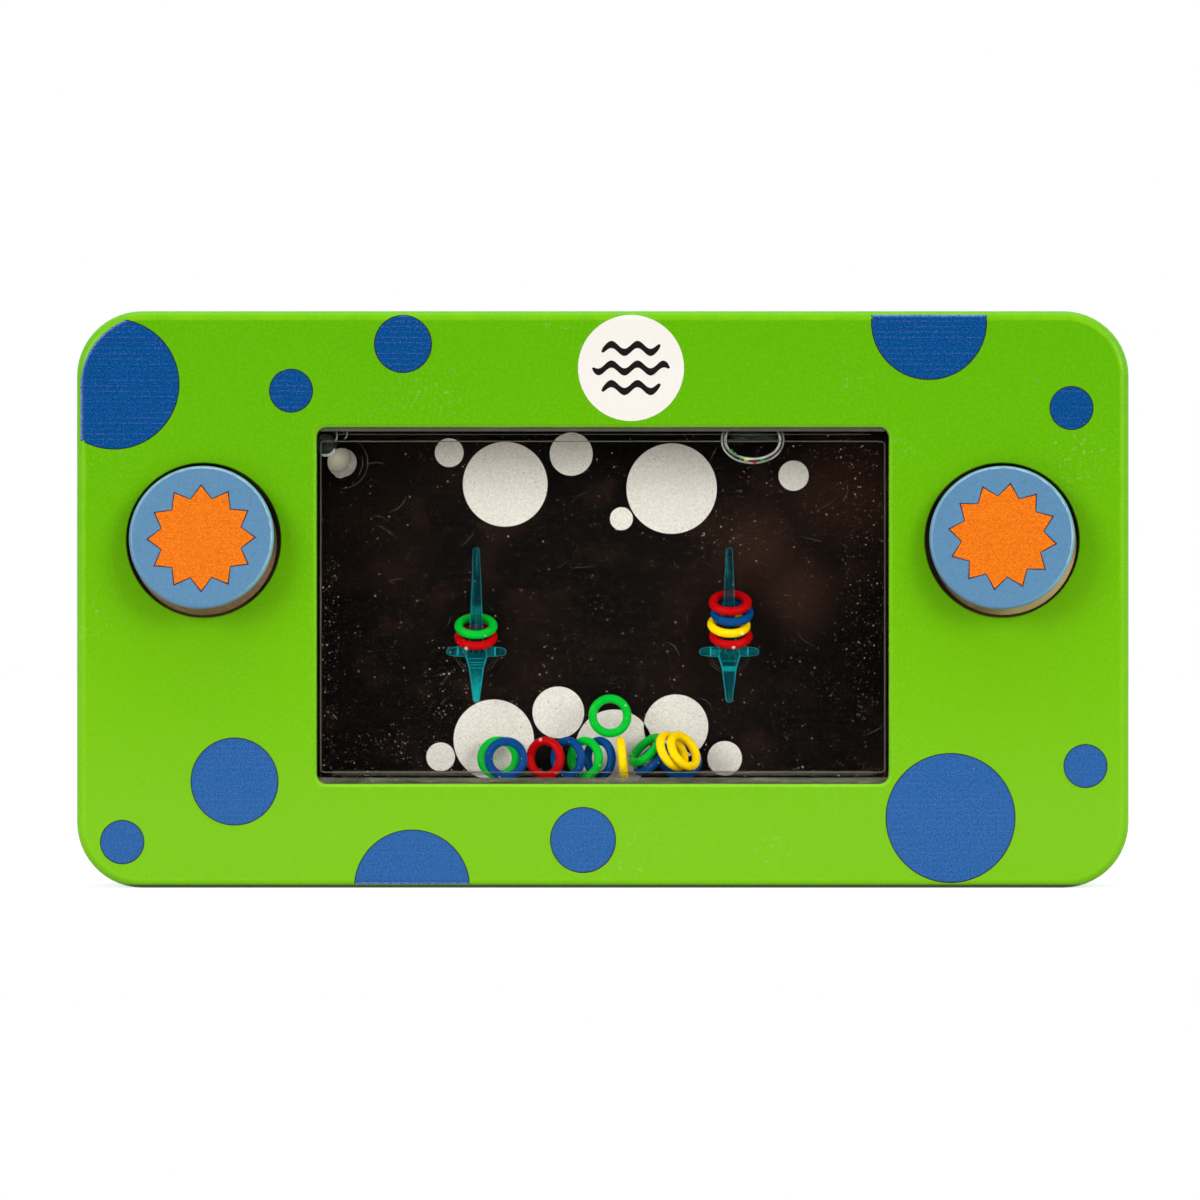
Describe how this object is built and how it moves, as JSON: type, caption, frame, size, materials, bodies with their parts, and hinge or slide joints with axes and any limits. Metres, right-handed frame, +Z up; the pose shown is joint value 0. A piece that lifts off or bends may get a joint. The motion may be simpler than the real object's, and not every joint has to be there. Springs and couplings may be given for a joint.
{
  "type": "handheld water game",
  "caption": "Handheld water ring-toss game: painted wooden case, clear water tank with pegs and loose rings, and sprung push buttons that pump the water.",
  "frame": {"origin": "centre of the flat bottom edge that the case stands on", "axes": "+X to the right seen from the front, +Y to the back, +Z up; the window and buttons face -Y"},
  "size_m": [0.145, 0.0273, 0.0795],
  "materials": {
    "case_paint": "satin paint on fibreboard",
    "button_wood": "painted face, bare brown fibreboard sides",
    "screw_steel": "plated",
    "clear_plastic": "clear, glossy",
    "peg_plastic": "translucent, glossy",
    "white_rubber": "matt",
    "black_card": "matt print",
    "foam": "foam",
    "bellows_rubber": "matt",
    "retainer_plastic": "satin",
    "print_blue": "printed ink",
    "print_white": "printed ink",
    "print_orange": "printed ink",
    "print_dark": "printed ink",
    "air": "air bubble in the water",
    "speck": "fine particles in the water",
    "ring_red": "satin",
    "ring_green": "satin",
    "ring_blue": "satin",
    "ring_yellow": "satin"
  },
  "bodies": {
    "root": {"front_case": "case_paint", "back_cover": "case_paint", "cover_screws": "screw_steel", "tank_body": "clear_plastic", "tank_window": "clear_plastic", "fill_plug": "white_rubber", "backing_card": "black_card", "foam_pads": "foam", "left_peg": "peg_plastic", "right_peg": "peg_plastic", "left_bellows": "bellows_rubber", "right_bellows": "bellows_rubber"},
    "left_plunger": {"left_button": "button_wood", "left_retainer": "retainer_plastic"},
    "right_plunger": {"right_button": "button_wood", "right_retainer": "retainer_plastic"},
    "left_peg_ring_1_red_body": {"left_peg_ring_1_red": "ring_red"},
    "left_peg_ring_2_green_body": {"left_peg_ring_2_green": "ring_green"},
    "right_peg_ring_1_red_body": {"right_peg_ring_1_red": "ring_red"},
    "right_peg_ring_2_yellow_body": {"right_peg_ring_2_yellow": "ring_yellow"},
    "right_peg_ring_3_blue_body": {"right_peg_ring_3_blue": "ring_blue"},
    "right_peg_ring_4_red_body": {"right_peg_ring_4_red": "ring_red"},
    "floor_ring_01_green_body": {"floor_ring_01_green": "ring_green"},
    "floor_ring_02_blue_body": {"floor_ring_02_blue": "ring_blue"},
    "floor_ring_03_red_body": {"floor_ring_03_red": "ring_red"},
    "floor_ring_04_blue_body": {"floor_ring_04_blue": "ring_blue"},
    "floor_ring_05_green_body": {"floor_ring_05_green": "ring_green"},
    "floor_ring_06_blue_body": {"floor_ring_06_blue": "ring_blue"},
    "floor_ring_07_green_body": {"floor_ring_07_green": "ring_green"},
    "floor_ring_08_yellow_body": {"floor_ring_08_yellow": "ring_yellow"},
    "floor_ring_09_green_body": {"floor_ring_09_green": "ring_green"},
    "floor_ring_10_blue_body": {"floor_ring_10_blue": "ring_blue"},
    "floor_ring_11_yellow_body": {"floor_ring_11_yellow": "ring_yellow"},
    "floor_ring_12_yellow_body": {"floor_ring_12_yellow": "ring_yellow"},
    "floor_ring_13_blue_body": {"floor_ring_13_blue": "ring_blue"}
  },
  "joints": [
    {"name": "left_press", "type": "slide", "parent": "root", "child": "left_plunger", "axis": [0, 1, 0], "range_m": [0, 0.003], "stiffness_N_per_m": 400, "springref_m": -0.0005, "deforming": ["left_bellows"]},
    {"name": "right_press", "type": "slide", "parent": "root", "child": "right_plunger", "axis": [0, 1, 0], "range_m": [0, 0.003], "stiffness_N_per_m": 400, "springref_m": -0.0005, "deforming": ["right_bellows"]},
    {"name": "left_peg_lift_1_red", "type": "slide", "parent": "root", "child": "left_peg_ring_1_red_body", "axis": [0, 0, 1], "range_m": [0, 0.01]},
    {"name": "left_peg_lift_2_green", "type": "slide", "parent": "left_peg_ring_1_red_body", "child": "left_peg_ring_2_green_body", "axis": [0, 0, 1], "range_m": [0, 0.013]},
    {"name": "right_peg_lift_1_red", "type": "slide", "parent": "root", "child": "right_peg_ring_1_red_body", "axis": [0, 0, 1], "range_m": [0, 0.0034]},
    {"name": "right_peg_lift_2_yellow", "type": "slide", "parent": "right_peg_ring_1_red_body", "child": "right_peg_ring_2_yellow_body", "axis": [0, 0, 1], "range_m": [0, 0.0034]},
    {"name": "right_peg_lift_3_blue", "type": "slide", "parent": "right_peg_ring_2_yellow_body", "child": "right_peg_ring_3_blue_body", "axis": [0, 0, 1], "range_m": [0, 0.0034]},
    {"name": "right_peg_lift_4_red", "type": "slide", "parent": "right_peg_ring_3_blue_body", "child": "right_peg_ring_4_red_body", "axis": [0, 0, 1], "range_m": [0, 0.01]},
    {"name": "floor_lift_01_green", "type": "slide", "parent": "root", "child": "floor_ring_01_green_body", "axis": [0, 0, 1], "range_m": [0, 0.008]},
    {"name": "floor_lift_02_blue", "type": "slide", "parent": "root", "child": "floor_ring_02_blue_body", "axis": [0, 0, 1], "range_m": [0, 0.038]},
    {"name": "floor_lift_03_red", "type": "slide", "parent": "root", "child": "floor_ring_03_red_body", "axis": [0, 0, 1], "range_m": [0, 0.038]},
    {"name": "floor_lift_04_blue", "type": "slide", "parent": "root", "child": "floor_ring_04_blue_body", "axis": [0, 0, 1], "range_m": [0, 0.038]},
    {"name": "floor_lift_05_green", "type": "slide", "parent": "root", "child": "floor_ring_05_green_body", "axis": [0, 0, 1], "range_m": [0, 0.038]},
    {"name": "floor_lift_06_blue", "type": "slide", "parent": "floor_ring_08_yellow_body", "child": "floor_ring_06_blue_body", "axis": [0, 0, 1], "range_m": [0, 0.012]},
    {"name": "floor_lift_07_green", "type": "slide", "parent": "floor_ring_06_blue_body", "child": "floor_ring_07_green_body", "axis": [0, 0, 1], "range_m": [0, 0.012]},
    {"name": "floor_lift_08_yellow", "type": "slide", "parent": "root", "child": "floor_ring_08_yellow_body", "axis": [0, 0, 1], "range_m": [0, 0.012]},
    {"name": "floor_lift_09_green", "type": "slide", "parent": "floor_ring_10_blue_body", "child": "floor_ring_09_green_body", "axis": [0, 0, 1], "range_m": [0, 0.0044]},
    {"name": "floor_lift_10_blue", "type": "slide", "parent": "floor_ring_13_blue_body", "child": "floor_ring_10_blue_body", "axis": [0, 0, 1], "range_m": [0, 0.0044]},
    {"name": "floor_lift_11_yellow", "type": "slide", "parent": "floor_ring_09_green_body", "child": "floor_ring_11_yellow_body", "axis": [0, 0, 1], "range_m": [0, 0.012]},
    {"name": "floor_lift_12_yellow", "type": "slide", "parent": "floor_ring_11_yellow_body", "child": "floor_ring_12_yellow_body", "axis": [0, 0, 1], "range_m": [0, 0.012]},
    {"name": "floor_lift_13_blue", "type": "slide", "parent": "root", "child": "floor_ring_13_blue_body", "axis": [0, 0, 1], "range_m": [0, 0.0044]}
  ]
}
